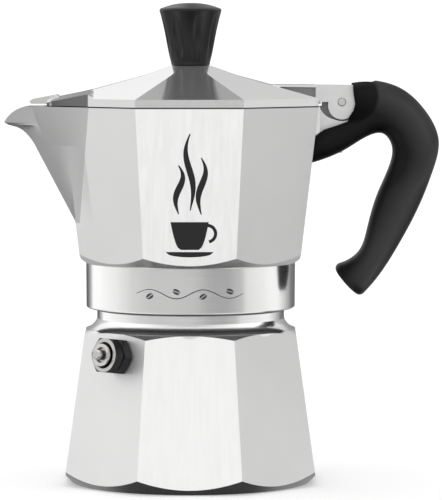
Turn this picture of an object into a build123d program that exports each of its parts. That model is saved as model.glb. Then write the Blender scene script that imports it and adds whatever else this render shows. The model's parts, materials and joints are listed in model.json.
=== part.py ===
"""Three-cup moka pot: boiler, funnel, gasket, filter plate, collector, lid, handle, valve.

Millimetres. +Z up, origin on the pot's axis at the base, handle toward +X, spout toward -X.
"""

import os
from math import cos, pi, radians, sin, sqrt, tan

from build123d import *

os.makedirs("parts", exist_ok=True)

# --- driving dimensions -------------------------------------------------------
sides = 8
turn = 22.5                   # flats face the axes

# boiler
base_apothem = 43.3           # half the width across flats at the base
boiler_slope = 0.1365         # how much each flat leans in, per mm of height
foot_radius = 41.3
shoulder_z = 53.0
shoulder_r = 36.2
groove_r = 32.3
neck_r = 32.9
neck_top = 69.0
neck_bore = 28.6
boiler_wall = 2.7
boiler_floor = 3.2

# thread between boiler and collector
pitch = 4.0
thread_depth = 0.9
thread_root = 1.3             # half the ridge's width where it meets the wall
thread_crest = 0.6
thread_turns = 1.25
male_low = 62.3               # middle of the ridge where it starts
female_low = 63.3             # the same in the collar, a quarter turn back
female_start = 270
collar_bore = 34.15

# funnel, gasket, filter plate
rim_t = 1.2
rim_r = 32.6
basket_r = 27.2
sheet = 0.6
sieve_z = 49.4
stem_r = 4.6
stem_bottom = 8.0
seat_gap = 0.05
gasket_in = 26.5
gasket_out = 33.0
gasket_t = 3.0
plate_r = 28.0

# collector
collar_low = 60.2
collar_top = 75.7
collar_r = 36.1
cup_z = 76.0
rim_z = 129.7
rim_apothem = 43.7
cup_slope = 0.1164
cup_wall = 2.3
floor_z = 79.5
column_top = 119.0
column_bore = 4.0

# lid
lid_gap = 0.35
lid_edge = 2.6
lid_slope = tan(radians(15.4))
lid_boss = 16.0               # apothem where the roof steepens toward the knob
lid_boss_slope = tan(radians(19.5))
lid_flat = 6.8
lid_t = 2.0

# hinge
pin_x = 52.0
pin_z = 131.1
pin_r = 1.3
knuckle_r = 4.2
knuckle_half = 3.6
ear_in = 4.0
ear_out = 6.0
cheek_in = 6.4
handle_half = 8.7
sweep_r = 7.25
handle_round = 4.5
handle_end_round = 2.0

# safety valve
valve_z = 45.5
valve_along = 4.0
hex_flat = 11.4
hex_corner = 6.8               # beyond the corners, for turning them back
hex_turned = 5.6
wall_hole = 4.0
valve_face = 8.0
valve_stroke = 1.5

# --- shared shapes ------------------------------------------------------------
lean = Vector(cos(radians(225)), sin(radians(225)), boiler_slope).normalized()
along = Vector(cos(radians(315)), sin(radians(315)), 0)
valve_apothem = base_apothem - boiler_slope * valve_z
valve_base = Vector(
    valve_apothem * cos(radians(225)) + valve_along * cos(radians(315)),
    valve_apothem * sin(radians(225)) + valve_along * sin(radians(315)),
    valve_z,
)
valve_plane = Plane(origin=valve_base, x_dir=along, z_dir=lean)
hinge_plane = Plane(origin=(0, 0, 0), x_dir=(1, 0, 0), z_dir=(0, -1, 0))


def cup_apothem(z):
    """Outside half-width across flats of the collector's cup at a height."""
    return rim_apothem - cup_slope * (rim_z - z)


def cup_face(z, inset):
    """Octagonal face at a height, set in by a wall."""
    with BuildSketch(Plane.XY.offset(z)) as face:
        RegularPolygon(cup_apothem(z) - inset, sides, major_radius=False, rotation=turn)
    return face.sketch


def write(part, name):
    """Label one finished piece and write it out."""
    part.label = name
    export_step(part, f"parts/{name}.step")


def thread_ridge(radius, depth, low, turns, start):
    """Right-hand helical ridge; depth is positive outward, negative inward."""
    bury = -0.5 if depth > 0 else 0.5
    with BuildPart() as ridge:
        with BuildLine():
            path = Helix(pitch=pitch, height=pitch * turns, radius=radius, center=(0, 0, low))
        with BuildSketch(Plane(origin=path @ 0, x_dir=(1, 0, 0), z_dir=path % 0)):
            with BuildLine():
                Polyline(
                    (bury, -thread_root),
                    (depth, -thread_crest),
                    (depth, thread_crest),
                    (bury, thread_root),
                    close=True,
                )
            make_face()
        sweep(path=path, is_frenet=True)
    return ridge.part.rotate(Axis.Z, start)


# --- boiler -------------------------------------------------------------------
with BuildPart() as boiler:
    with BuildSketch(Plane.XY):
        RegularPolygon(base_apothem, sides, major_radius=False, rotation=turn)
    with BuildSketch(Plane.XY.offset(shoulder_z + 1)):
        RegularPolygon(
            base_apothem - boiler_slope * (shoulder_z + 1),
            sides,
            major_radius=False,
            rotation=turn,
        )
    loft(ruled=True)
    # turned foot chamfer, turned shoulder
    with BuildSketch(Plane.XZ):
        with BuildLine():
            Polyline(
                (0, 0),
                (foot_radius, 0),
                (foot_radius + 7, 7),
                (foot_radius + 7, shoulder_z - 5.85),
                (shoulder_r, shoulder_z),
                (0, shoulder_z),
                close=True,
            )
        make_face()
    revolve(axis=Axis.Z, mode=Mode.INTERSECT)
    # concave run-out, undercut and threaded neck
    with BuildSketch(Plane.XZ):
        with BuildLine():
            Line((0, shoulder_z - 2), (shoulder_r, shoulder_z - 2))
            Line((shoulder_r, shoulder_z - 2), (shoulder_r, shoulder_z))
            ThreePointArc((shoulder_r, shoulder_z), (33.6, 54.5), (groove_r, 56.6))
            Line((groove_r, 56.6), (groove_r, 59.4))
            Line((groove_r, 59.4), (neck_r, 60.3))
            Line((neck_r, 60.3), (neck_r, neck_top - 0.6))
            Line((neck_r, neck_top - 0.6), (neck_r - 0.6, neck_top))
            Line((neck_r - 0.6, neck_top), (0, neck_top))
            Line((0, neck_top), (0, shoulder_z - 2))
        make_face()
    revolve(axis=Axis.Z)
    add(thread_ridge(neck_r, thread_depth, male_low, thread_turns, 0))
    # water chamber, round inside
    low_r = base_apothem - boiler_slope * 7 - boiler_wall
    high_r = base_apothem - boiler_slope * 46 - boiler_wall
    with BuildSketch(Plane.XZ):
        with BuildLine():
            Line((0, boiler_floor), (low_r - 3, boiler_floor))
            ThreePointArc((low_r - 3, boiler_floor), (low_r - 0.7, 4.3), (low_r, 7))
            Line((low_r, 7), (high_r, 46))
            ThreePointArc((high_r, 46), (31.6, 51.6), (neck_bore, 56.5))
            Line((neck_bore, 56.5), (neck_bore, neck_top - 0.5))
            Line((neck_bore, neck_top - 0.5), (neck_bore + 0.5, neck_top))
            Line((neck_bore + 0.5, neck_top), (0, neck_top))
            Line((0, neck_top), (0, boiler_floor))
        make_face()
    revolve(axis=Axis.Z, mode=Mode.SUBTRACT)
    # tapped hole for the safety valve
    with BuildSketch(valve_plane.offset(-7)):
        Circle(wall_hole)
    extrude(amount=9, mode=Mode.SUBTRACT)

# --- safety valve -------------------------------------------------------------
washer_t = 0.5

with BuildPart() as valve_washer:
    with BuildSketch(valve_plane):
        Circle(5.3)
        Circle(wall_hole + 0.05, mode=Mode.SUBTRACT)
    extrude(amount=washer_t)

with BuildPart() as valve_body:
    with BuildSketch(valve_plane.offset(washer_t)):
        RegularPolygon(hex_flat / 2, 6, major_radius=False)
    extrude(amount=3.6)
    with BuildSketch(valve_plane.offset(4.0)):
        Circle(4.7)
    extrude(amount=0.7)
    with BuildSketch(valve_plane.offset(4.6)):
        RegularPolygon(hex_flat / 2, 6, major_radius=False)
    extrude(amount=valve_face - 4.6)
    # corners turned back to a circle at both ends and on both sides of the groove
    with BuildSketch(Plane(origin=valve_base, x_dir=lean, z_dir=along.cross(lean))):
        with BuildLine():
            Polyline(
                (washer_t, 0),
                (washer_t, hex_turned),
                (washer_t + 0.7, hex_corner),
                (3.4, hex_corner),
                (4.1, hex_turned),
                (4.6, hex_turned),
                (5.3, hex_corner),
                (valve_face - 0.7, hex_corner),
                (valve_face, hex_turned),
                (valve_face, 0),
                close=True,
            )
        make_face()
    revolve(axis=Axis(valve_base, lean), mode=Mode.INTERSECT)
    # threaded shank into the wall and crimped lip on the face
    with BuildSketch(valve_plane.offset(-4.4)):
        Circle(wall_hole - 0.05)
    extrude(amount=4.4 + washer_t)
    with BuildSketch(valve_plane.offset(valve_face)):
        Circle(3.8)
    extrude(amount=1.4)
    with BuildSketch(valve_plane.offset(valve_face - 0.5)):
        Circle(4.5)
        Circle(3.8, mode=Mode.SUBTRACT)
    extrude(amount=1, mode=Mode.SUBTRACT)
    # port, seat, spring chamber, open mouth
    with BuildSketch(valve_plane.offset(-4.4)):
        Circle(1.7)
    extrude(amount=3, mode=Mode.SUBTRACT)
    with BuildSketch(valve_plane.offset(-2.0)):
        Circle(3.2)
    extrude(amount=valve_face + 2.6, mode=Mode.SUBTRACT)
    with BuildSketch(valve_plane.offset(valve_face)):
        Circle(2.6)
    extrude(amount=1.5, mode=Mode.SUBTRACT)

with BuildPart() as valve_retainer:
    with BuildSketch(valve_plane.offset(valve_face - 0.4)):
        Circle(3.15)
        Circle(1.75, mode=Mode.SUBTRACT)
    extrude(amount=0.8)

with BuildPart() as valve_seal:
    with BuildSketch(valve_plane.offset(-1.95)):
        Circle(2.7)
        Circle(0.82, mode=Mode.SUBTRACT)
    extrude(amount=0.7)

with BuildPart() as valve_pin:
    with BuildSketch(valve_plane.offset(-1.95)):
        Circle(0.8)
    extrude(amount=0.8)
    with BuildSketch(valve_plane.offset(-1.25)):
        Circle(3.0)
    extrude(amount=0.9)
    with BuildSketch(valve_plane.offset(-0.5)):
        Circle(1.65)
    extrude(amount=12.3)
    tip = valve_pin.edges().sort_by(Axis(valve_base, lean))[-1]
    fillet(tip, radius=0.45)

with BuildPart() as valve_spring:
    with BuildLine():
        coil = Helix(
            pitch=1.46,
            height=7.3,
            radius=2.35,
            center=valve_base - lean * 0.02,
            direction=lean,
        )
    with BuildSketch(Plane(origin=coil @ 0, z_dir=coil % 0)):
        Circle(0.3)
    sweep(path=coil, is_frenet=True)

# --- funnel -------------------------------------------------------------------
with BuildPart() as funnel:
    rim_low = neck_top + seat_gap
    rim_high = rim_low + rim_t
    with BuildSketch(Plane.XZ):
        with BuildLine():
            Polyline(
                (rim_r, rim_low),
                (rim_r, rim_high),
                (basket_r - sheet, rim_high),
                (basket_r - sheet, sieve_z),
                (basket_r - sheet - 1.2, sieve_z),
                (basket_r - sheet - 1.2, sieve_z - 0.8),
                (stem_r - sheet, 38.4),
                (stem_r - sheet, stem_bottom),
                (stem_r, stem_bottom),
                (stem_r, 37.9),
                (basket_r, 48.1),
                (basket_r, rim_low),
                close=True,
            )
        make_face()
    revolve(axis=Axis.Z)
    # two notches at the foot of the stem let the water in
    with BuildSketch(Plane.XZ):
        with Locations((0, stem_bottom)):
            SlotOverall(4.8, 2.4, rotation=90)
    extrude(amount=8, both=True, mode=Mode.SUBTRACT)

with BuildPart() as funnel_sieve:
    with BuildSketch(Plane.XY.offset(sieve_z + 0.02)):
        Circle(basket_r - sheet - 0.05)
        with PolarLocations(6, 6):
            Circle(0.75, mode=Mode.SUBTRACT)
        with PolarLocations(12, 12):
            Circle(0.75, mode=Mode.SUBTRACT)
        with PolarLocations(18, 18):
            Circle(0.75, mode=Mode.SUBTRACT)
        with PolarLocations(23.2, 24):
            Circle(0.75, mode=Mode.SUBTRACT)
        Circle(0.75, mode=Mode.SUBTRACT)
    extrude(amount=0.6)

# --- gasket and filter plate --------------------------------------------------
gasket_low = neck_top + seat_gap + rim_t + seat_gap
gasket_high = gasket_low + gasket_t
plate_low = gasket_high + seat_gap

with BuildPart() as gasket:
    with BuildSketch(Plane.XY.offset(gasket_low)):
        Circle(gasket_out)
        Circle(gasket_in, mode=Mode.SUBTRACT)
    extrude(amount=gasket_t)
    fillet(gasket.edges(), radius=0.4)

with BuildPart() as filter_plate:
    with BuildSketch(Plane.XY.offset(plate_low)):
        Circle(plate_r)
        Circle(0.6, mode=Mode.SUBTRACT)
        for ring in range(1, 6):
            with PolarLocations(4.5 * ring, 6 * ring):
                Circle(0.6, mode=Mode.SUBTRACT)
    extrude(amount=0.6)

# --- collector ----------------------------------------------------------------
plate_seat = plate_low + 0.65

# the spout draws out the octagon's -X side: its root climbs round the octagon as it rises
spout_z = 88.0
root_half = 27.2              # half-width at the root, at the rim
keel_rim = 61.3               # how far out the straight keel would run at the rim
keel_half = 0.45
lip_from = 0.76               # how far along each side the flared lip begins
spout_wall = 1.8


def jug_face(z, flare, inset, side_inset):
    """One level of the jug: an octagon whose -X side runs out to the spout's keel."""
    t = (z - spout_z) / (rim_z - spout_z)
    outer = cup_apothem(z)
    foot = cup_apothem(spout_z)
    corner = foot * tan(pi / 8)
    root_y = corner + t * (root_half - corner)
    root_x = outer * sqrt(2) - root_y
    keel = foot + t * (keel_rim - foot)
    # the side starts on the octagon's wall and ends at the keel, moved in by its own wall
    out = Vector(root_y, keel - root_x).normalized()
    tip = (out.X * keel - side_inset - out.Y * keel_half) / out.X
    a = outer - inset
    c = a * tan(pi / 8)
    side_y = root_y - 0.7 * inset
    side_x = a * sqrt(2) - side_y
    bend_x = side_x + lip_from * (tip - side_x)
    bend_y = side_y + lip_from * (keel_half - side_y)
    with BuildSketch(Plane.XY.offset(z)) as face:
        with BuildLine():
            Polyline(
                (-side_x, -side_y),
                (-bend_x, -bend_y),
                (-tip - flare, -keel_half),
                (-tip - flare, keel_half),
                (-bend_x, bend_y),
                (-side_x, side_y),
                (-c, a),
                (c, a),
                (a, c),
                (a, -c),
                (c, -a),
                (-c, -a),
                close=True,
            )
        make_face()
    return face.sketch


def jug(levels, inset, side_inset):
    """Solid of the jug above the foot of the spout, through its levels."""
    with BuildPart() as form:
        for z, flare in levels:
            add(jug_face(z, flare, inset, side_inset))
        loft(ruled=True)
    return form.part


# heights of the spout's levels, and how far the keel flares at each
keel_out = [
    (spout_z, 0),
    (116.4, 0),
    (118.0, 0.15),
    (119.4, 0.5),
    (120.6, 1.0),
    (121.6, 1.7),
    (122.4, 2.9),
    (123.2, 5.4),
    (124.0, 6.4),
    (rim_z, 3.6),
]
keel_in = [
    (spout_z, 0),
    (118.2, 0),
    (121.8, 0.5),
    (123.8, 2.2),
    (124.9, 5.3),
    (rim_z + 0.5, 3.4),
]

with BuildPart() as collector:
    add(cup_face(cup_z, 0))
    add(cup_face(spout_z, 0))
    loft(ruled=True)
    add(jug(keel_out, 0, 0))
    # scalloped underside turned on the bottom of the cup
    with BuildSketch(Plane.XZ):
        with BuildLine():
            Polyline(
                (0, collar_top),
                (collar_r, collar_top),
                (collar_r + 34, collar_top + 25.5),
                (collar_r + 34, rim_z),
                (0, rim_z),
                close=True,
            )
        make_face()
    revolve(axis=Axis.Z, mode=Mode.INTERSECT)
    # rim falls away at the tip of the spout
    with BuildSketch(Plane.XZ):
        with BuildLine():
            Line((-54.5, rim_z), (-54.5, rim_z + 5))
            Line((-54.5, rim_z + 5), (-70, rim_z + 5))
            Line((-70, rim_z + 5), (-70, 123.4))
            Line((-70, 123.4), (-64.5, 123.7))
            ThreePointArc((-64.5, 123.7), (-60.9, 127.9), (-54.5, rim_z))
        make_face()
    extrude(amount=20, both=True, mode=Mode.SUBTRACT)
    # hinge bracket: web under the ears and tongue that enters the handle
    with BuildSketch(Plane.XZ):
        with BuildLine():
            Polyline(
                (38.5, 129.7),
                (38.5, 119.2),
                (42.3, 119.4),
                (45.9, 121.7),
                (49.8, 123.0),
                (54.2, 124.6),
                (54.2, 126.2),
                (46.0, 129.7),
                close=True,
            )
        make_face()
    extrude(amount=ear_out, both=True)
    with BuildSketch(Plane.XZ):
        with Locations((pin_x, pin_z), (50.5, 131.6)):
            Circle(6.5)
    extrude(amount=20, both=True, mode=Mode.SUBTRACT)
    with BuildSketch(Plane.XZ):
        with BuildLine():
            Polyline(
                (39.0, 125.0),
                (39.0, 117.2),
                (56.6, 117.2),
                (57.8, 118.4),
                (57.8, 124.6),
                (55.6, 125.2),
                (pin_x + knuckle_r * 0.94, pin_z - 2.0),
                (pin_x - knuckle_r + 0.05, 131.0),
                (45.3, 131.0),
                (45.3, 129.7),
                (42.0, 129.7),
                (42.0, 125.0),
                close=True,
            )
        make_face()
        with Locations((pin_x, pin_z)):
            Circle(knuckle_r)
    extrude(amount=knuckle_half, both=True)

# cavities and column
with BuildPart() as chamber:
    add(cup_face(floor_z, cup_wall))
    add(cup_face(spout_z + 0.1, cup_wall))
    loft(ruled=True)
    add(jug(keel_in, cup_wall, spout_wall))

with BuildPart() as column:
    with BuildSketch(Plane.XZ):
        with BuildLine():
            Line((0, 76), (35.4, 78.2))
            Line((35.4, 78.2), (35.4, 79.8))
            Line((35.4, 79.8), (10.5, 83.6))
            ThreePointArc((10.5, 83.6), (7.7, 85.6), (6.8, 89.4))
            Line((6.8, 89.4), (5.7, column_top - 2.2))
            ThreePointArc((5.7, column_top - 2.2), (4.8, column_top - 0.7), (3.0, column_top))
            Line((3.0, column_top), (0, column_top))
            Line((0, column_top), (0, 76))
        make_face()
    revolve(axis=Axis.Z)

with BuildPart() as under:
    # steam dome below the floor, rising to the column's bore
    with BuildSketch(Plane.XZ):
        with BuildLine():
            Polyline(
                (0, plate_low),
                (26.4, plate_low),
                (26.4, plate_seat + 0.4),
                (22.0, 76.6),
                (7.4, 80.6),
                (column_bore, 84.0),
                (column_bore, 113.5),
                (0, 113.5),
                close=True,
            )
        make_face()
    revolve(axis=Axis.Z)
    with BuildSketch(Plane.XY.offset(plate_low)):
        Circle(plate_r + 0.1)
    extrude(amount=plate_seat - plate_low)
    # two outlets near the top of the column
    with BuildSketch(Plane.XZ):
        with Locations((0, 111.3)):
            SlotOverall(6.2, 3.6, rotation=90)
    extrude(amount=8, both=True)

with BuildPart() as collector_whole:
    add(collector.part)
    add(chamber.part, mode=Mode.SUBTRACT)
    add(column.part)
    # round threaded collar
    with BuildSketch(Plane.XZ):
        with BuildLine():
            Polyline(
                (collar_bore, collar_low + 0.8),
                (collar_bore + 0.8, collar_low),
                (collar_r - 0.6, collar_low),
                (collar_r - 0.1, collar_low + 0.5),
                (collar_r, collar_top),
                (collar_r - 1, collar_top + 2.0),
                (26.0, collar_top + 2.4),
                (26.0, plate_seat),
                (gasket_out + 0.15, gasket_high + seat_gap),
                (gasket_out + 0.15, gasket_low),
                (collar_bore, gasket_low - 0.6),
                close=True,
            )
        make_face()
    revolve(axis=Axis.Z)
    add(thread_ridge(collar_bore, -thread_depth, female_low, thread_turns, female_start))
    add(under.part, mode=Mode.SUBTRACT)
    # pin hole in the knuckle, screw hole in the tongue
    with BuildSketch(Plane.XZ):
        with Locations((pin_x, pin_z)):
            Circle(pin_r + 0.01)
    extrude(amount=10, both=True, mode=Mode.SUBTRACT)
    with BuildSketch(Plane.XY.offset(116)):
        with Locations((49.5, 0)):
            Circle(1.52)
    extrude(amount=6.6, mode=Mode.SUBTRACT)

# --- handle -------------------------------------------------------------------
with BuildPart() as handle:
    with BuildSketch(Plane.XZ):
        with BuildLine():
            outer = Spline(
                (55.7, 138.1),
                (64.0, 138.4),
                (72.3, 135.9),
                (80.6, 128.4),
                (85.4, 117.8),
                (83.4, 107.5),
                (78.5, 95.0),
                (72.0, 82.6),
                (65.4, 72.1),
                (58.4, 64.1),
            )
            ThreePointArc(outer @ 1, (53.1, 68.9), (49.0, 74.8))
            inner = Spline(
                (49.0, 74.8),
                (54.6, 76.4),
                (58.2, 79.4),
                (61.0, 86.8),
                (64.6, 99.2),
                (68.9, 109.5),
                (69.5, 116.2),
                (65.8, 120.4),
                (61.4, 119.6),
                (53.6, 115.0),
                (46.1, 111.6),
                (cup_apothem(110.2) + 0.1, 110.2),
            )
            Polyline(
                inner @ 1,
                (cup_apothem(119.2) + 0.1, 119.2),
                (45.9, 121.55),
                (49.8, 122.85),
                (53.9, 124.3),
                (54.5, 126.1),
                (55.9, 128.2),
                (56.5, 130.5),
                (55.9, 134.4),
                outer @ 0,
            )
        make_face()
    extrude(amount=handle_half, both=True)
    rims = handle.edges().filter_by(
        lambda e: abs(abs(e.center().Y) - handle_half) < 0.01 and e.length > 20
    )
    fillet(rims, radius=handle_round)
    end_face = handle.faces().sort_by(Axis((0, 0, 0), (0.76, 0, 0.65)))[0]
    fillet(end_face.edges(), radius=handle_end_round)
    # shallow scoop in each cheek round the hinge
    for out in (-1, 1):
        with BuildSketch(Plane.XZ.offset(out * (handle_half - 0.7))):
            with Locations((55.0, 133.4)):
                Circle(8.2)
        with BuildSketch(Plane.XZ.offset(out * (handle_half + 0.1))):
            with Locations((55.0, 133.4)):
                Circle(9.6)
        loft(mode=Mode.SUBTRACT)
    # pocket the lid's ears turn in, open at the top for the lid's arm
    with BuildSketch(Plane.XZ):
        with Locations((pin_x, pin_z)):
            Circle(sweep_r)
        with BuildLine():
            Polyline(
                (pin_x, pin_z),
                (pin_x + sweep_r, pin_z),
                (pin_x + 7.9, 137.0),
                (pin_x + 14.5, 139.3),
                (pin_x + 14.5, 141),
                (pin_x, 141),
                close=True,
            )
        make_face()
    extrude(amount=cheek_in, both=True, mode=Mode.SUBTRACT)
    # slot for the tongue, counterbored hole for the screw
    with BuildSketch(Plane.XZ):
        with BuildLine():
            Polyline((40, 117.1), (56.7, 117.1), (57.9, 118.3), (57.9, 127), (40, 127), close=True)
        make_face()
    extrude(amount=knuckle_half + 0.1, both=True, mode=Mode.SUBTRACT)
    with BuildSketch(Plane.XY.offset(108)):
        with Locations((49.5, 0)):
            Circle(1.6)
    extrude(amount=12, mode=Mode.SUBTRACT)
    with BuildSketch(Plane.XY.offset(108)):
        with Locations((49.5, 0)):
            Circle(3.0)
    extrude(amount=7.6, mode=Mode.SUBTRACT)

with BuildPart() as handle_screw:
    with BuildSketch(Plane.XY.offset(113.6)):
        with Locations((49.5, 0)):
            Circle(2.8)
    extrude(amount=2.0)
    with BuildSketch(Plane.XY.offset(115.5)):
        with Locations((49.5, 0)):
            Circle(1.5)
    extrude(amount=6.5)
    with BuildSketch(Plane.XY.offset(113.6)):
        with Locations((49.5, 0)):
            Rectangle(6, 0.8)
    extrude(amount=0.9, mode=Mode.SUBTRACT)

with BuildPart() as hinge_pin:
    with BuildSketch(Plane.XZ):
        with Locations((pin_x, pin_z)):
            Circle(pin_r)
    extrude(amount=ear_out + 0.2, both=True)
    fillet(hinge_pin.edges().filter_by(GeomType.CIRCLE), radius=0.3)

# --- lid ----------------------------------------------------------------------
lid_low = rim_z + lid_gap
lid_high = lid_low + lid_edge
boss_z = lid_high + (rim_apothem - lid_boss) * lid_slope
crown_z = boss_z + (lid_boss - lid_flat) * lid_boss_slope

# levels of the lid's beak along -X: how far out, half-width, heights of crown, shoulder, edge
beak_x = 34.5
beak_out = [
    (28.5, 26.0, 136.8, 136.2, 130.5),
    (beak_x, 27.4, 135.3, 135.25, 134.2),
    (45.5, 16.0, 133.1, 132.8, 131.9),
    (47.6, 13.2, 132.6, 132.4, 131.5),
    (49.2, 9.0, 132.1, 131.8, 130.9),
]
beak_draft = 0.7
beak_hollow = [
    (24.0, 21.0, 134.6, 133.3, 132.0),
    (33.5, 25.2, 133.2, 132.8, 131.6),
    (44.2, 13.4, 131.5, 131.2, 130.6),
    (46.6, 9.0, 131.1, 130.9, 130.5),
]


def lid_beak(levels, low):
    """Solid of the lid's beak through its cross-sections along -X; its sides lean out."""
    with BuildPart() as form:
        for x, half, crown, shoulder, edge in levels:
            with BuildSketch(Plane.YZ.offset(-x)):
                with BuildLine():
                    Polyline(
                        (-half + beak_draft, low),
                        (-half, edge),
                        (-0.52 * half, shoulder),
                        (0, crown),
                        (0.52 * half, shoulder),
                        (half, edge),
                        (half - beak_draft, low),
                        close=True,
                    )
                make_face()
        loft(ruled=True)
    return form.part


def lid_roof(levels):
    """Octagonal solid through its levels, each an apothem and a height."""
    with BuildPart() as form:
        for apothem, z in levels:
            with BuildSketch(Plane.XY.offset(z)):
                RegularPolygon(apothem, sides, major_radius=False, rotation=turn)
        loft(ruled=True)
    return form.part


hollow = rim_apothem - lid_t
under_z = lid_high - 1.6
screw_seat = under_z + (hollow - 5.0) * lid_slope
roof = [(rim_apothem, lid_low), (rim_apothem, lid_high), (lid_boss, boss_z), (lid_flat, crown_z)]
roof_hollow = [(hollow, lid_low - 1), (hollow, under_z), (5.0, screw_seat)]

with BuildPart() as lid:
    add(lid_roof(roof))
    # the octagon stops where the beak's sides leave it
    with BuildSketch(Plane.XY.offset(lid_low - 1)):
        with Locations((-beak_x - 10, 0)):
            Rectangle(20, 60)
    extrude(amount=12, mode=Mode.SUBTRACT)
    add(lid_beak(beak_out, lid_low))
    # thumb piece along the ridge, out over the spout
    with BuildSketch(Plane.XZ):
        with BuildLine():
            Polyline(
                (-43.0, 131.6),
                (-46.0, 133.7),
                (-54.3, 132.1),
                (-55.3, 131.5),
                (-55.3, 130.9),
                (-54.6, 130.5),
                (-48.0, 130.5),
                close=True,
            )
        make_face()
    extrude(amount=4.2, both=True)
    add(lid_roof(roof_hollow), mode=Mode.SUBTRACT)
    add(lid_beak(beak_hollow, lid_low - 1), mode=Mode.SUBTRACT)
    # arm to the hinge: flat top plate, narrow web under it
    with BuildSketch(Plane.XZ):
        with BuildLine():
            Polyline(
                (28.0, 137.2),
                (28.0, 135.0),
                (31.0, 136.4),
                (55.9, 136.0),
                (55.9, 136.9),
                close=True,
            )
        make_face()
    extrude(amount=ear_out, both=True)
    with BuildSketch(Plane.XZ):
        with BuildLine():
            Polyline(
                (30.0, 136.4),
                (33.0, 134.0),
                (42.9, 130.4),
                (44.8, 130.4),
                (44.8, 136.4),
                close=True,
            )
        make_face()
    extrude(amount=3.0, both=True)
    # two ears with their lobes under the pin
    with BuildSketch(Plane.XZ):
        with BuildLine():
            Polyline(
                (43.0, 136.6),
                (43.0, 131.4),
                (pin_x - 4.7, 131.2),
                (pin_x - 4.7, 130.1),
                (pin_x + 4.7, 130.1),
                (55.9, 134.4),
                (55.9, 136.6),
                close=True,
            )
        make_face()
        with Locations((pin_x, 129.9)):
            Circle(4.73)
    extrude(amount=ear_out, both=True)
    with BuildSketch(Plane.XZ):
        with BuildLine():
            Polyline(
                (pin_x - 5.4, 122),
                (pin_x - 5.4, 135.8),
                (58, 135.8),
                (58, 122),
                close=True,
            )
        make_face()
    extrude(amount=ear_in, both=True, mode=Mode.SUBTRACT)
    with BuildSketch(Plane.XZ):
        with Locations((pin_x, pin_z)):
            Circle(pin_r + 0.05)
    extrude(amount=10, both=True, mode=Mode.SUBTRACT)
    # countersink round the pin on both ears
    for face_y in (-ear_out, ear_out):
        with BuildSketch(Plane.XZ.offset(-face_y)):
            with Locations((pin_x, pin_z)):
                Circle(pin_r + 0.35)
        extrude(amount=0.35 if face_y > 0 else -0.35, mode=Mode.SUBTRACT)
    # hole for the knob's screw
    with BuildSketch(Plane.XY.offset(130)):
        Circle(2.1)
    extrude(amount=20, mode=Mode.SUBTRACT)

# --- knob ---------------------------------------------------------------------
knob_low = crown_z + 0.05
knob_top = 165.1

flute_half = 9.5
flute_r = 3.15
flute_tip_r = 1.95

with BuildPart() as flute:
    groove = Plane(origin=(10.75, 0, 152.4), x_dir=(cos(0.2), 0, -sin(0.2)), z_dir=(0, -1, 0))
    with BuildSketch(groove):
        with BuildLine():
            Line((0, -flute_half), (0, flute_half))
            Line((0, flute_half), (flute_tip_r, flute_half))
            ThreePointArc((flute_tip_r, flute_half), (flute_r, 0), (flute_tip_r, -flute_half))
            Line((flute_tip_r, -flute_half), (0, -flute_half))
        make_face()
    revolve(axis=Axis(groove.origin, groove.y_dir))

with BuildPart() as knob:
    with BuildSketch(Plane.XZ):
        with BuildLine():
            Polyline((0, knob_low), (6.3, knob_low), (6.6, knob_low + 0.3), (6.7, knob_low + 1.1))
            Spline(
                (6.7, knob_low + 1.1),
                (7.6, 148.4),
                (8.5, 153.2),
                (9.7, 158.8),
                (10.6, 162.2),
            )
            ThreePointArc((10.6, 162.2), (10.5, 163.0), (9.8, 163.4))
            ThreePointArc((9.8, 163.4), (5.6, 164.65), (1.2, knob_top))
            Line((1.2, knob_top), (0, knob_top))
            Line((0, knob_top), (0, knob_low))
        make_face()
    revolve(axis=Axis.Z)
    with PolarLocations(0, 8, start_angle=14):
        add(flute.part, mode=Mode.SUBTRACT)
    with BuildSketch(Plane.XY.offset(knob_low)):
        Circle(3.3)
    extrude(amount=12, mode=Mode.SUBTRACT)

with BuildPart() as knob_insert:
    with BuildSketch(Plane.XY.offset(knob_low + 0.3)):
        RegularPolygon(3.2, 12, major_radius=True)
        Circle(2.0, mode=Mode.SUBTRACT)
    extrude(amount=11)

with BuildPart() as knob_washer:
    with BuildSketch(Plane.XY.offset(screw_seat - 0.75)):
        Circle(4.6)
        Circle(2.1, mode=Mode.SUBTRACT)
    extrude(amount=0.7)

with BuildPart() as knob_screw:
    head_z = screw_seat - 0.8
    with BuildSketch(Plane.XZ):
        with BuildLine():
            Line((0, head_z), (3.6, head_z))
            ThreePointArc((3.6, head_z), (2.7, head_z - 1.6), (1.2, head_z - 2.2))
            Line((1.2, head_z - 2.2), (0, head_z - 2.2))
            Line((0, head_z - 2.2), (0, head_z))
        make_face()
    revolve(axis=Axis.Z)
    with BuildSketch(Plane.XY.offset(head_z)):
        Circle(1.95)
    extrude(amount=12)
    with BuildSketch(Plane.XY.offset(head_z - 2.3)):
        Rectangle(8, 0.9)
    extrude(amount=1.2, mode=Mode.SUBTRACT)

# --- write every piece --------------------------------------------------------
pieces = {
    "boiler": boiler,
    "valve_washer": valve_washer,
    "valve_body": valve_body,
    "valve_retainer": valve_retainer,
    "valve_seal": valve_seal,
    "valve_pin": valve_pin,
    "valve_spring": valve_spring,
    "funnel": funnel,
    "funnel_sieve": funnel_sieve,
    "gasket": gasket,
    "filter_plate": filter_plate,
    "collector": collector_whole,
    "handle": handle,
    "handle_screw": handle_screw,
    "hinge_pin": hinge_pin,
    "lid": lid,
    "knob": knob,
    "knob_insert": knob_insert,
    "knob_washer": knob_washer,
    "knob_screw": knob_screw,
}
for name, piece in pieces.items():
    write(piece.part, name)
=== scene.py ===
import json
import math

import bmesh
import bpy
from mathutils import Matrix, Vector
from mathutils.bvhtree import BVHTree


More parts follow.
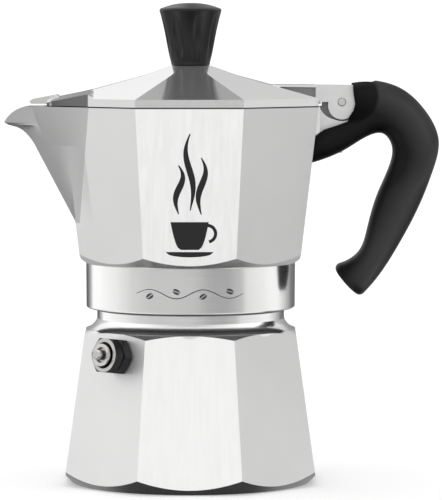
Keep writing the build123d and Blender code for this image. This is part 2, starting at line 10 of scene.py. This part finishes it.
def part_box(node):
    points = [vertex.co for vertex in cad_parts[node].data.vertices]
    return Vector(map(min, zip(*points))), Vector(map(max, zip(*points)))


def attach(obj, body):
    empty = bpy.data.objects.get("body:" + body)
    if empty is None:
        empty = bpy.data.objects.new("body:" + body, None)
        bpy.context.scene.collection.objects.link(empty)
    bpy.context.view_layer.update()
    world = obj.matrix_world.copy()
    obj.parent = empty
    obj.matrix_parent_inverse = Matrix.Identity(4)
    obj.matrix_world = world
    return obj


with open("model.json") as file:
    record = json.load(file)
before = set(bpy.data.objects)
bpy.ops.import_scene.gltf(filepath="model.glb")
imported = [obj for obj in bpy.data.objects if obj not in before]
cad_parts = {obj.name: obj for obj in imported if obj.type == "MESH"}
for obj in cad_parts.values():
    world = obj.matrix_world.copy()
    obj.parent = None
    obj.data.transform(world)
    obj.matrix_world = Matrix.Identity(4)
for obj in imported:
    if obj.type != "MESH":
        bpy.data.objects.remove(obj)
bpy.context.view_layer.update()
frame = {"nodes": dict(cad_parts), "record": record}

MM = 0.001
nodes = frame["nodes"]


# --- node helpers --------------------------------------------------------------
class Material:
    """One procedural material and short ways to add nodes to it."""

    def __init__(self, name, tint=(0.8, 0.8, 0.8), rough=0.3, metal=0.0):
        self.mat = bpy.data.materials.new(name)
        self.mat.use_nodes = True
        self.tree = self.mat.node_tree
        self.tree.nodes.clear()
        out = self.node("ShaderNodeOutputMaterial")
        self.bsdf = self.node("ShaderNodeBsdfPrincipled")
        self.link(self.bsdf.outputs[0], out.inputs["Surface"])
        coords = self.node("ShaderNodeTexCoord")
        self.coord = coords.outputs["Object"]
        self.normal = coords.outputs["Normal"]
        self.tint = tint
        self.rough = rough
        self.metal = metal
        self.height = None
        self.rounded = None

    def node(self, kind, **values):
        n = self.tree.nodes.new(kind)
        for key, value in values.items():
            setattr(n, key, value)
        return n

    def link(self, a, b):
        self.tree.links.new(a, b)

    def put(self, sock, value):
        """Give a socket a number, a colour or another socket."""
        if isinstance(value, tuple):
            sock.default_value = (*value, 1.0) if len(sock.default_value) == 4 else value
        elif isinstance(value, (int, float)):
            sock.default_value = value
        else:
            self.link(value, sock)

    def math(self, op, a, b=0.0):
        n = self.node("ShaderNodeMath", operation=op)
        self.put(n.inputs[0], a)
        self.put(n.inputs[1], b)
        return n.outputs[0]

    def add(self, a, b):
        return self.math("ADD", a, b)

    def times(self, a, b):
        return self.math("MULTIPLY", a, b)

    def stretch(self, scale):
        """Object coordinates scaled on each axis."""
        m = self.node("ShaderNodeMapping")
        self.link(self.coord, m.inputs["Vector"])
        m.inputs["Scale"].default_value = scale
        return m.outputs[0]

    def noise(self, scale, detail=3.0, rough=0.55, vector=None):
        n = self.node("ShaderNodeTexNoise")
        n.inputs["Scale"].default_value = scale
        n.inputs["Detail"].default_value = detail
        n.inputs["Roughness"].default_value = rough
        self.link(vector or self.coord, n.inputs["Vector"])
        return n.outputs["Fac"]

    def remap(self, value, lo, hi, a=0.3, b=0.7):
        n = self.node("ShaderNodeMapRange")
        self.put(n.inputs["Value"], value)
        for sock, v in (("From Min", a), ("From Max", b), ("To Min", lo), ("To Max", hi)):
            n.inputs[sock].default_value = v
        return n.outputs[0]

    def mix(self, fac, a, b):
        n = self.node("ShaderNodeMix", data_type="RGBA")
        for sock, v in ((n.inputs[0], fac), (n.inputs[6], a), (n.inputs[7], b)):
            self.put(sock, v)
        return n.outputs[2]

    def blend(self, fac, a, b):
        n = self.node("ShaderNodeMix", data_type="FLOAT")
        for sock, v in ((n.inputs[0], fac), (n.inputs[2], a), (n.inputs[3], b)):
            self.put(sock, v)
        return n.outputs[0]

    def split(self, vector, name):
        n = self.node("ShaderNodeSeparateXYZ")
        self.link(vector, n.inputs[0])
        return n.outputs[name]

    def axis(self, name):
        """One object coordinate, in metres."""
        return self.split(self.coord, name)

    def facing(self, name):
        """One component of the surface's own normal."""
        return self.split(self.normal, name)

    def either_side(self, value):
        """A value without its sign, for what is the same on both sides."""
        return self.math("ABSOLUTE", value)

    def length(self, a, b):
        return self.math("SQRT", self.add(self.times(a, a), self.times(b, b)))

    def radius(self):
        """Distance from the pot's axis, in metres."""
        return self.length(self.axis("X"), self.axis("Y"))

    def from_crossbar(self, x, z):
        """Distance from a line that crosses the pot from front to back at x and z."""
        return self.length(self.add(self.axis("X"), -x), self.add(self.axis("Z"), -z))

    def off_axis(self, point, direction):
        """Distance from the line through a point, in metres."""
        offset = self.node("ShaderNodeVectorMath", operation="SUBTRACT")
        self.link(self.coord, offset.inputs[0])
        offset.inputs[1].default_value = point
        turned = self.node("ShaderNodeVectorMath", operation="CROSS_PRODUCT")
        self.link(offset.outputs[0], turned.inputs[0])
        turned.inputs[1].default_value = direction
        size = self.node("ShaderNodeVectorMath", operation="LENGTH")
        self.link(turned.outputs[0], size.inputs[0])
        return size.outputs["Value"]

    def bevel(self, radius):
        """The normal as if the edges were rounded further."""
        n = self.node("ShaderNodeBevel", samples=6)
        n.inputs["Radius"].default_value = radius
        return n.outputs[0]

    def along(self, direction):
        """Distance along a direction, in metres."""
        n = self.node("ShaderNodeVectorMath", operation="DOT_PRODUCT")
        self.link(self.coord, n.inputs[0])
        n.inputs[1].default_value = direction
        return n.outputs["Value"]

    def above(self, value, edge, width=0.0002):
        """0 below an edge and 1 above it."""
        return self.remap(value, 0.0, 1.0, edge - width / 2, edge + width / 2)

    def below(self, value, edge, width=0.0002):
        return self.remap(value, 1.0, 0.0, edge - width / 2, edge + width / 2)

    def zone(self, mask, tint=None, rough=None, metal=None, height=None):
        """Another finish where the mask is 1."""
        if tint is not None:
            self.tint = self.mix(mask, self.tint, tint)
        if rough is not None:
            self.rough = self.blend(mask, self.rough, rough)
        if metal is not None:
            self.metal = self.blend(mask, self.metal, metal)
        if height is not None:
            self.height = self.add(self.height, self.times(mask, height))

    def finish(self, strength=0.2, distance=0.00005):
        self.put(self.bsdf.inputs["Base Color"], self.tint)
        self.put(self.bsdf.inputs["Roughness"], self.rough)
        self.put(self.bsdf.inputs["Metallic"], self.metal)
        if self.height is not None:
            n = self.node("ShaderNodeBump")
            n.inputs["Strength"].default_value = strength
            n.inputs["Distance"].default_value = distance
            self.link(self.height, n.inputs["Height"])
            if self.rounded is not None:
                self.link(self.rounded, n.inputs["Normal"])
            self.link(n.outputs[0], self.bsdf.inputs["Normal"])
        return self.mat


# --- places on the pot ---------------------------------------------------------
# where one finish ends and the next begins; heights and reaches follow the boxes of the pieces
neck_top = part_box("boiler")[1].z
neck_foot = neck_top - 9.6 * MM
sides_top = neck_top - 16 * MM
shoulder_r = 36.6 * MM
neck_r = 33.8 * MM
tank_r = 28.8 * MM
tank_floor = 10 * MM
foot_top = 7.2 * MM

collar_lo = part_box("collector")[0].z
collar_top = collar_lo + 15.6 * MM
collar_bore = 34.9 * MM
rim_top = collar_lo + 69.5 * MM
rim_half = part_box("collector")[1].y
bracket_x = rim_half + 0.7 * MM
bracket_foot = collar_lo + 61.8 * MM
web_half = 3.7 * MM
seat_x = rim_half + 2.3 * MM

spout_foot = collar_lo + 27.8 * MM
spout_x = -37.8 * MM
spout_lean = 0.087
lip_x = -54.67 * MM
lip_lean = 0.45
lip_foot = rim_top - 6.6 * MM

lid_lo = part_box("lid")[0].z + 4.78 * MM
arm_x = rim_half - 0.8 * MM
recess_x = rim_half + 1.2 * MM
recess_half = 3.3 * MM
beak_root = 9.3 * MM - rim_half
beak_tip = -3.7 * MM - rim_half
beak_half = 4.6 * MM

pin_lo, pin_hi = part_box("hinge_pin")
scoop_x = (pin_lo.x + pin_hi.x) / 2 + 3 * MM
scoop_z = (pin_lo.z + pin_hi.z) / 2 + 2.3 * MM
scoop_r = 9.4 * MM
bend_x, bend_z, bend_r = 56 * MM, 110 * MM, 30.2 * MM
bend_foot = 108 * MM
grip_x, grip_z = 83.8 * MM, 107.5 * MM
grip_out = (0.89, -0.453)
# where the painted highlight on the handle starts to rise and where it peaks, inside the outer side
painted_sheen_from, painted_sheen_peak = -11.5 * MM, -3 * MM

valve_joint = next(j for j in frame["record"]["behaviour"]["joints"] if j["name"] == "valve_release")
valve_axis = Vector(valve_joint["axis"]).normalized()
pin_points = [v.co for v in nodes["valve_pin"].data.vertices]
valve_centre = sum(pin_points, Vector()) / len(pin_points)
valve_front = max(v.co.dot(valve_axis) for v in nodes["valve_body"].data.vertices)
valve_step = valve_front - 1.45 * MM
valve_groove_in, valve_groove_out = 3.72 * MM, 4.55 * MM
valve_mouth_r = 2.65 * MM

# --- materials -----------------------------------------------------------------
POLISHED = (0.89, 0.89, 0.885)
CAST = (0.80, 0.80, 0.795)


def grey(level):
    return (level, level, level)


def scaled(tint, k):
    return tuple(min(1.0, c * k) for c in tint)


def casting(name, rough, metal):
    """Polished aluminium casting: faint clouding, fine polishing marks, a few pits."""
    m = Material(name, POLISHED, rough, metal)
    cloud = m.noise(30.0, 3.0, 0.5)
    marks = m.noise(700.0, 3.0, 0.6, m.stretch((1.0, 1.0, 0.05)))
    pits = m.noise(1500.0, 2.0, 0.5)
    m.tint = m.mix(m.remap(cloud, 0.0, 1.0), scaled(POLISHED, 0.975), scaled(POLISHED, 1.02))
    m.rough = m.add(m.remap(cloud, rough - 0.015, rough + 0.015), m.remap(marks, -0.02, 0.02))
    m.height = m.add(m.times(marks, 0.25), m.remap(pits, 0.0, -0.07, 0.70, 0.82))
    return m


def lathe_rings(m):
    """Fine rings left by a lathe, as a height."""
    return m.noise(1.0, 2.0, 0.7, m.stretch((5.0, 5.0, 5200.0)))


def boiler_metal():
    """Flat polished sides, turned shoulder and foot, dull inside and thread; painted shade on foot and
    thread.
    """
    m = casting("boiler_aluminium", 0.235, 0.97)
    z, r, up = m.axis("Z"), m.radius(), m.facing("Z")
    rings = lathe_rings(m)
    rounded = m.math("MAXIMUM", m.above(up, 0.3, 0.1), m.below(r, neck_r))
    turned = m.times(m.above(z, sides_top - 6 * MM, MM), m.times(m.below(r, shoulder_r), rounded))
    m.zone(turned, rough=m.remap(rings, 0.13, 0.21), height=m.times(rings, 0.45))
    # painted shade: the downward-facing foot is darkened; its rings and roughness are the turned finish
    foot = m.times(m.below(z, foot_top), m.below(up, -0.3, 0.1))
    m.zone(foot, tint=grey(0.45), rough=0.26, height=m.times(rings, 0.5))
    # painted shade: the threaded neck inside the collar is darkened
    m.zone(m.above(z, neck_foot), tint=grey(0.16), rough=0.4)
    # the flat side that carries the valve is less polished than the others
    valve_side = m.times(m.below(m.facing("X"), -0.5, 0.1), m.below(m.facing("Y"), -0.5, 0.1))
    flat = m.times(m.above(up, 0.06, 0.04), m.below(up, 0.3, 0.1))
    valve_side = m.times(m.times(valve_side, flat), m.below(z, sides_top, MM))
    m.zone(valve_side, rough=0.48, metal=0.80)
    inside = m.times(m.below(r, tank_r), m.above(z, tank_floor))
    m.zone(inside, tint=CAST, rough=0.42)
    return m.finish(0.12)


def collector_metal():
    """Polished jug on a turned collar, cast bracket and duller spout; painted shade in hollows and on
    the spout.
    """
    m = casting("collector_aluminium", 0.235, 0.97)
    x, z, r = m.axis("X"), m.axis("Z"), m.radius()
    rings = lathe_rings(m)
    collar = m.below(z, collar_top)
    m.zone(collar, rough=m.remap(rings, 0.12, 0.19), height=m.times(rings, 0.5))
    # painted shade: the inside of the collar and the collector's underside are darkened
    m.zone(m.times(collar, m.below(r, collar_bore)), tint=grey(0.10), rough=0.5)
    m.zone(m.below(z, collar_lo + 0.15 * MM), tint=grey(0.10), rough=0.5)
    bracket = m.above(x, bracket_x)
    m.zone(bracket, tint=CAST, rough=0.42, metal=0.50)
    # painted shade: the bracket's recessed web between the ears is darkened
    web = m.times(m.below(m.either_side(m.axis("Y")), web_half), m.above(z, bracket_foot))
    m.zone(m.times(bracket, web), tint=grey(0.22), rough=0.45)
    # painted shade: the rim's top face under the lid is darkened
    seat = m.times(m.above(z, rim_top - 0.1 * MM), m.below(x, seat_x))
    m.zone(seat, tint=grey(0.20), rough=0.45)
    # painted shade on the spout's sides, which start along an edge that leans, deeper on its lip from a
    # crease
    root = m.along((1.0, 0.0, -spout_lean))
    spout = m.below(root, spout_x - spout_lean * spout_foot, 0.25 * MM)
    spout = m.times(spout, m.above(z, spout_foot + 2.2 * MM))
    m.zone(spout, tint=scaled(POLISHED, 0.72), rough=0.40)
    lip = m.below(m.along((1.0, 0.0, lip_lean)), lip_x + lip_lean * rim_top, 0.5 * MM)
    lip = m.times(lip, m.above(z, lip_foot, 2 * MM))
    m.zone(lip, tint=scaled(POLISHED, 0.54), rough=0.40)
    return m.finish(0.12)


def lid_metal():
    """Brightly polished roof, a cast arm, and painted shade on the rim, arm recess, beak sides and
    underside.
    """
    m = casting("lid_aluminium", 0.12, 0.90)
    x, z, up = m.axis("X"), m.axis("Z"), m.facing("Z")
    off_middle = m.either_side(m.axis("Y"))
    m.zone(m.above(x, arm_x), tint=scaled(CAST, 0.9), rough=0.42, metal=0.60)
    # painted shade: the side walls of the arm's recess are darkened
    sideways = m.above(m.either_side(m.facing("Y")), 0.9, 0.1)
    recess = m.times(sideways, m.below(off_middle, recess_half))
    m.zone(m.times(recess, m.below(x, recess_x)), tint=grey(0.30), rough=0.45)
    # painted shade: the lid's upright rim is a little darker
    upright = m.below(m.either_side(up), 0.6, 0.1)
    rim = m.times(upright, m.below(z, lid_lo + 3.0 * MM))
    m.zone(rim, tint=scaled(POLISHED, 0.84))
    # painted shade: the upright sides of the beak are darkened
    beak = m.times(m.below(x, beak_root), m.above(x, beak_tip))
    cheek = m.times(beak, m.times(upright, m.above(off_middle, beak_half)))
    m.zone(cheek, tint=grey(0.20), rough=0.30)
    # painted shade: the lid's underside is darkened
    under = m.times(m.below(z, lid_lo + 0.1 * MM), m.below(up, -0.9, 0.1))
    m.zone(under, tint=grey(0.20), rough=0.45)
    return m.finish(0.12)


def phenolic(name, rough_lo, rough_hi):
    """Black moulded phenolic, satin with a fine orange peel and faint rub marks."""
    rub_lo, rub_hi = (0.0025, 0.0025, 0.0027), (0.0050, 0.0050, 0.0053)
    m = Material(name)
    rub = m.noise(70.0, 5.0, 0.65)
    m.tint = m.mix(m.remap(rub, 0.0, 1.0), rub_lo, rub_hi)
    m.rough = m.remap(rub, rough_lo, rough_hi)
    m.height = m.noise(900.0, 2.0, 0.5)
    return m


def knob_black():
    m = phenolic("knob_phenolic", 0.22, 0.28)
    m.bsdf.inputs["Specular IOR Level"].default_value = 0.40
    return m.finish(0.08, 0.00006)


def handle_black():
    """Painted shade inside the grip, round the hinge and on upward faces; a painted highlight along its
    outer side.
    """
    m = phenolic("handle_phenolic", 0.29, 0.36)
    m.rounded = m.bevel(5 * MM)
    x, z = m.axis("X"), m.axis("Z")
    # painted highlight along the outer side; how far inside it: round the bend at top, straight down
    # the grip
    bend = m.add(m.from_crossbar(bend_x, bend_z), -bend_r)
    across, along = m.add(x, -grip_x), m.add(z, -grip_z)
    grip = m.add(m.times(across, grip_out[0]), m.times(along, grip_out[1]))
    depth = m.blend(m.above(z, bend_foot, 14 * MM), grip, bend)
    rising = m.remap(depth, 0.0, 1.0, painted_sheen_from, painted_sheen_peak)
    painted_sheen = m.times(rising, m.remap(depth, 1.0, 0.3, painted_sheen_peak, 0.0))
    # painted shade: less reflection in the scoop round the hinge
    scoop = m.below(m.from_crossbar(scoop_x, scoop_z), scoop_r, 1.2 * MM)
    level = m.remap(painted_sheen, 0.15, 0.78, 0.0, 1.0)
    # painted shade: less reflection on faces that look up
    top = m.remap(m.split(m.rounded, "Z"), 1.0, 0.4, 0.2, 0.8)
    level = m.times(m.times(level, top), m.remap(scoop, 1.0, 0.25, 0.0, 1.0))
    m.link(level, m.bsdf.inputs["Specular IOR Level"])
    return m.finish(0.08, 0.00006)


def plain_metal(name, tint, rough):
    """Plain drawn, pressed or turned metal."""
    m = Material(name, tint, rough, 1.0)
    fine = m.noise(1500.0, 3.0, 0.6)
    cloud = m.noise(120.0, 3.0, 0.5)
    m.tint = m.mix(m.remap(cloud, 0.0, 1.0), scaled(tint, 0.93), tint)
    m.rough = m.add(m.remap(fine, rough - 0.04, rough + 0.05), m.remap(cloud, -0.02, 0.02))
    m.height = fine
    return m.finish(0.12, 0.00004)


def valve_metal():
    """Turned brass with bright nickel on the face; painted shade on the flats, the groove and round the
    pin.
    """
    m = Material("valve_nickel", (0.78, 0.77, 0.75), 0.2, 1.0)
    fine = m.noise(1400.0, 3.0, 0.6)
    reach = m.along(valve_axis)
    m.rough = m.remap(fine, 0.16, 0.24)
    m.height = fine
    # painted shade: the hex flats behind the face are nearly black
    flats = m.below(reach, valve_step, 0.15 * MM)
    m.zone(flats, tint=(0.045, 0.045, 0.046), rough=m.remap(fine, 0.30, 0.42))
    away = m.off_axis(valve_centre, valve_axis)
    # painted shade: the groove and the mouth round the pin are painted black
    groove = m.times(m.above(away, valve_groove_in), m.below(away, valve_groove_out))
    groove = m.times(groove, m.below(reach, valve_step, 0.1 * MM))
    mouth = m.below(away, valve_mouth_r)
    m.zone(m.add(mouth, groove), tint=grey(0.02), rough=0.5)
    return m.finish(0.10, 0.00004)


def rubber(name, tint, rough):
    m = Material(name)
    fine = m.noise(1800.0, 4.0, 0.6)
    cloud = m.noise(90.0, 3.0, 0.5)
    m.tint = m.mix(m.remap(cloud, 0.0, 1.0), scaled(tint, 0.9), tint)
    m.rough = m.remap(fine, rough - 0.05, rough + 0.08)
    m.height = fine
    return m.finish(0.25, 0.00006)


def ink(name, tint):
    """Baked black enamel, a little uneven."""
    m = Material(name)
    uneven = m.noise(900.0, 3.0, 0.6)
    m.tint = m.mix(m.remap(uneven, 0.0, 1.0), scaled(tint, 0.7), tint)
    m.rough = m.remap(uneven, 0.36, 0.50)
    m.height = uneven
    return m.finish(0.10, 0.00003)


mats = {
    "boiler": boiler_metal(),
    "collector": collector_metal(),
    "lid": lid_metal(),
    "sheet": plain_metal("pressed_aluminium", (0.80, 0.80, 0.79), 0.38),
    "knob": knob_black(),
    "handle": handle_black(),
    "steel": plain_metal("steel", (0.66, 0.65, 0.64), 0.27),
    "nickel": valve_metal(),
    "brass": plain_metal("brass", (0.78, 0.60, 0.30), 0.30),
    "gasket": rubber("gasket_rubber", (0.80, 0.78, 0.71), 0.55),
    "seal": rubber("seal_rubber", (0.03, 0.03, 0.03), 0.5),
    "ink": ink("black_enamel", (0.004, 0.004, 0.004)),
    "etch": ink("etched_grey", (0.05, 0.05, 0.05)),
}
finish_of = {
    "boiler": ["boiler"],
    "collector": ["collector"],
    "lid": ["lid"],
    "sheet": ["funnel", "funnel_sieve", "filter_plate"],
    "gasket": ["gasket"],
    "knob": ["knob"],
    "handle": ["handle"],
    "steel": [
        "handle_screw", "hinge_pin", "knob_screw", "knob_washer",
        "valve_pin", "valve_spring", "valve_retainer",
    ],
    "brass": ["knob_insert"],
    "nickel": ["valve_body"],
    "seal": ["valve_washer", "valve_seal"],
}
for key, names in finish_of.items():
    for name in names:
        data = nodes[name].data
        data.materials.clear()
        data.materials.append(mats[key])

# --- printed emblem and etched ornament ------------------------------------------
collector_mesh = nodes["collector"].data
skin = BVHTree.FromPolygons(
    [v.co for v in collector_mesh.vertices],
    [p.vertices[:] for p in collector_mesh.polygons],
)
PROUD = 0.02 * MM
THICK = 0.05 * MM


def on_front(x, z):
    """The point on the collector's front at x and z, a hair proud of it."""
    hit, normal, _, _ = skin.ray_cast(Vector((x, -0.2, z)), Vector((0, 1, 0)))
    return hit + normal * PROUD


def decal(name, strips, finish):
    """Thin flat piece laid on the front, made of strips of left and right points."""
    bm = bmesh.new()
    for pairs in strips:
        rows = [[bm.verts.new(on_front(*p)) for p in pair] for pair in pairs]
        for a, b in zip(rows, rows[1:]):
            bm.faces.new((a[0], a[1], b[1], b[0]))
    bmesh.ops.remove_doubles(bm, verts=bm.verts, dist=0.001 * MM)
    bmesh.ops.recalc_face_normals(bm, faces=bm.faces)
    outward = sum((f.normal.y for f in bm.faces), 0.0)
    if outward > 0:
        bmesh.ops.reverse_faces(bm, faces=bm.faces)
    me = bpy.data.meshes.new(name)
    bm.to_mesh(me)
    bm.free()
    me.materials.append(mats[finish])
    o = bpy.data.objects.new(name, me)
    bpy.context.scene.collection.objects.link(o)
    thick = o.modifiers.new("thickness", "SOLIDIFY")
    thick.thickness = THICK
    thick.offset = -1.0
    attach(o, "collector")


def ribbon(points, widths):
    """Pairs of points either side of a line."""
    pairs = []
    last = len(points) - 1
    for i, (x, z) in enumerate(points):
        ax, az = points[max(i - 1, 0)]
        bx, bz = points[min(i + 1, last)]
        d = math.hypot(bx - ax, bz - az)
        nx, nz = -(bz - az) / d * widths[i] / 2, (bx - ax) / d * widths[i] / 2
        pairs.append(((x - nx, z - nz), (x + nx, z + nz)))
    return pairs


def arc(cx, cz, r, start, end, n, squash=1.0):
    turn = [math.radians(start + (end - start) * k / n) for k in range(n + 1)]
    return [(cx + r * math.cos(t), cz + squash * r * math.sin(t)) for t in turn]


def cup_emblem(z0):
    """A plain cup on its saucer with three wisps of steam."""
    saucer_half, saucer_drop, saucer_top = 7.9 * MM, 1.6 * MM, 1.8 * MM
    saucer = []
    for k in range(17):
        u = k / 8 - 1
        lift = saucer_drop * (1 - math.sqrt(1 - u * u))
        saucer.append(((u * saucer_half, z0 + lift), (u * saucer_half, z0 + saucer_top)))
    bowl_foot, bowl_flare = 3.0 * MM, 3.4 * MM
    bowl_low, bowl_height = 2.5 * MM, 9.4 * MM
    bowl = []
    for k in range(13):
        t = k / 12
        half = bowl_foot + bowl_flare * math.sqrt(t)
        z = z0 + bowl_low + bowl_height * t
        bowl.append(((-half, z), (half, z)))
    handle = arc(5.9 * MM, z0 + 8.0 * MM, 2.8 * MM, -78, 86, 18)
    strips = [saucer, bowl, ribbon(handle, [1.1 * MM] * len(handle))]
    # each wisp: its place across, its foot and top, and the side it leans to first
    wisps = [(-3.7, 14.6, 31.0, -1), (0.2, 15.8, 41.5, 1), (3.9, 14.4, 33.5, -1)]
    n = 40
    for x, low, high, lean in wisps:
        path = []
        width = []
        for k in range(n + 1):
            t = k / n
            sway = lean * 1.7 * math.sin(t * math.tau) * (0.45 + 0.55 * t)
            swell = math.sin(math.pi * (t * 0.93 + 0.03)) ** 1.3
            path.append(((x + sway) * MM, z0 + (low + (high - low) * t) * MM))
            width.append((0.25 + 1.9 * swell) * MM)
        strips.append(ribbon(path, width))
    return strips


def bean(cx, cz, tilt):
    """Two halves of a coffee bean with a gap between them."""
    half_long, half_wide, slit = 1.35 * MM, 0.92 * MM, 0.26 * MM
    halves = []
    c, s = math.cos(tilt), math.sin(tilt)
    for side in (-1, 1):
        pairs = []
        for k in range(9):
            t = k / 4 - 1
            u = t * half_long
            edge = half_wide * math.sqrt(1 - t * t)
            middle = (0.13 + 0.16 * math.sin(t * 2.2)) * MM
            inner = middle if side > 0 else middle - slit
            outer = max(edge, inner) if side > 0 else min(-edge, inner)
            pair = [(cx + u * c - v * s, cz + u * s + v * c) for v in (inner, outer)]
            pairs.append(tuple(pair))
        halves.append(pairs)
    return halves


def vine(z0):
    """A wavy line with beans in its bows, along the collar."""
    length, bows, swing = 36 * MM, 4, 1.5 * MM
    bean_drop, bean_tilt = 0.8 * MM, 0.5
    n = 120
    path = []
    width = []
    for k in range(n + 1):
        t = k / n
        path.append(((t - 0.5) * length, z0 + swing * math.sin(t * bows * math.pi)))
        width.append((0.18 + 0.16 * math.sin(t * math.pi)) * MM)
    strips = [ribbon(path, width)]
    for k in range(bows):
        x = ((k + 0.5) / bows - 0.5) * length
        side = 1 if k % 2 == 0 else -1
        strips += bean(x, z0 - side * bean_drop, side * bean_tilt)
    return strips


decal("emblem", cup_emblem(collar_lo + 19.6 * MM), "ink")
decal("collar_ornament", vine(collar_lo + 7.0 * MM), "etch")

# --- studio --------------------------------------------------------------------
# Brightness round the studio by direction: degrees from the front toward +X, and level.
DOWN = 0.06
LOW = [
    (-180, 0.42), (-125, 0.46), (-100, 0.47), (-80, 0.70), (-58, 1.50), (-35, 0.55), (0, 0.22),
    (35, 0.55), (58, 1.50), (80, 0.70), (110, 0.42), (180, 0.42),
]
BELOW = [
    (-180, 0.45), (-114, 0.46), (-102, 0.48), (-92, 0.82), (-45, 0.94), (0, 1.20), (45, 0.80),
    (90, 0.55), (180, 0.45),
]
LEVEL = [
    (-180, 0.10), (-158, 0.12), (-145, 0.40), (-136, 1.15), (-120, 1.15), (-108, 1.08), (-92, 0.98),
    (-78, 0.82), (-64, 0.64), (-45, 0.52), (-28, 0.48), (0, 0.40), (24, 0.26), (40, 0.30), (56, 0.46),
    (66, 0.86), (83, 0.97), (99, 1.08), (112, 1.10), (124, 0.76), (135, 0.48), (148, 0.18), (180, 0.10),
]
ABOVE = [
    (-180, 0.28), (-130, 0.66), (-90, 0.80), (-40, 0.98), (0, 1.12), (40, 0.88), (90, 0.64),
    (130, 0.50), (180, 0.28),
]
HIGH = [
    (-180, 0.32), (-178, 0.40), (-175.5, 0.97), (-90, 1.25), (0, 0.65), (90, 1.25), (175.5, 0.64),
    (180, 0.32),
]
TOP = 1.40
# each band with the two elevations, in degrees, between which it takes over from the one below
BANDS = [(LOW, -58, -42), (BELOW, -25, -18), (LEVEL, -9, -6), (ABOVE, -2.5, 1), (HIGH, 14, 20)]
TOP_START, TOP_END = 45, 65


def world_light():
    """A plain studio: white front and ceiling, softboxes at the sides, a greyer band at eye level."""
    world = bpy.data.worlds.new("studio")
    bpy.context.scene.world = world
    world.use_nodes = True
    tree = world.node_tree
    tree.nodes.clear()
    new, link = tree.nodes.new, tree.links.new
    out = new("ShaderNodeOutputWorld")
    back = new("ShaderNodeBackground")
    link(back.outputs[0], out.inputs[0])
    xyz = new("ShaderNodeSeparateXYZ")
    link(new("ShaderNodeTexCoord").outputs["Generated"], xyz.inputs[0])

    def calc(op, a, b=0.0):
        n = new("ShaderNodeMath")
        n.operation = op
        for i, v in enumerate((a, b)):
            if isinstance(v, (int, float)):
                n.inputs[i].default_value = v
            else:
                link(v, n.inputs[i])
        return n.outputs[0]

    turn = calc("ARCTAN2", xyz.outputs["X"], calc("MULTIPLY", xyz.outputs["Y"], -1.0))
    t = calc("ADD", calc("MULTIPLY", turn, 0.5 / math.pi), 0.5)

    def band(stops):
        """Brightness by direction, from stops of degrees and level."""
        n = new("ShaderNodeValToRGB")
        n.color_ramp.interpolation = "EASE"
        e = n.color_ramp.elements
        while len(e) > 1:
            e.remove(e[0])
        for i, (az, level) in enumerate(stops):
            p = az / 360 + 0.5
            stop = e[0] if i == 0 else e.new(p)
            stop.position = p
            stop.color = (level, level, level, 1)
        link(t, n.inputs[0])
        return n.outputs[0]

    def blend(low, high, start, end):
        """From one level to the next between two elevations, in degrees."""
        r = new("ShaderNodeMapRange")
        r.interpolation_type = "SMOOTHSTEP"
        r.inputs["From Min"].default_value = math.sin(math.radians(start))
        r.inputs["From Max"].default_value = math.sin(math.radians(end))
        link(xyz.outputs["Z"], r.inputs["Value"])
        m = new("ShaderNodeMix")
        m.data_type = "RGBA"
        link(r.outputs[0], m.inputs[0])
        for v, sock in ((low, m.inputs[6]), (high, m.inputs[7])):
            if isinstance(v, (int, float)):
                sock.default_value = (v, v, v, 1)
            else:
                link(v, sock)
        return m.outputs[2]

    level = DOWN
    for stops, start, end in BANDS:
        level = blend(level, band(stops), start, end)
    level = blend(level, TOP, TOP_START, TOP_END)
    link(level, back.inputs["Color"])
    back.inputs["Strength"].default_value = 1.0


def paper_cove():
    """White paper: a flat floor whose far edge turns up; it isn't seen in the metal."""
    floor_r, wall_top, n = 12.0, 2.5, 96
    bm = bmesh.new()
    rings = []
    for r, z in ((floor_r, 0), (floor_r + 1, 0.3), (floor_r + 1.3, wall_top)):
        turns = [k * math.tau / n for k in range(n)]
        rings.append([bm.verts.new((r * math.cos(t), r * math.sin(t), z)) for t in turns])
    bm.faces.new(rings[0])
    for low, high in zip(rings, rings[1:]):
        for k in range(n):
            j = (k + 1) % n
            bm.faces.new((low[k], high[k], high[j], low[j]))
    me = bpy.data.meshes.new("paper_cove")
    bm.to_mesh(me)
    bm.free()
    m = Material("white_paper", grey(0.80), 0.9)
    m.bsdf.inputs["Specular IOR Level"].default_value = 0.0
    m.bsdf.inputs["Emission Color"].default_value = (1, 1, 1, 1)
    m.bsdf.inputs["Emission Strength"].default_value = 0.22
    me.materials.append(m.finish())
    o = bpy.data.objects.new("paper_cove", me)
    bpy.context.scene.collection.objects.link(o)
    o.location.z = -0.1 * MM
    o.visible_glossy = False


world_light()
paper_cove()

# --- camera --------------------------------------------------------------------
aim = Vector((10.5, 0.0, 79.9)) * MM
eye = Vector((10.5, -1235.0, 157.4)) * MM
cam = bpy.data.cameras.new("camera")
cam.lens = 257.7
cam.sensor_width = 36.0
cam.clip_end = 60.0
cam_obj = bpy.data.objects.new("camera", cam)
bpy.context.scene.collection.objects.link(cam_obj)
cam_obj.location = eye
cam_obj.rotation_mode = "QUATERNION"
cam_obj.rotation_quaternion = (aim - eye).to_track_quat("-Z", "Y")
bpy.context.scene.camera = cam_obj
bpy.context.scene.view_settings.view_transform = "Standard"
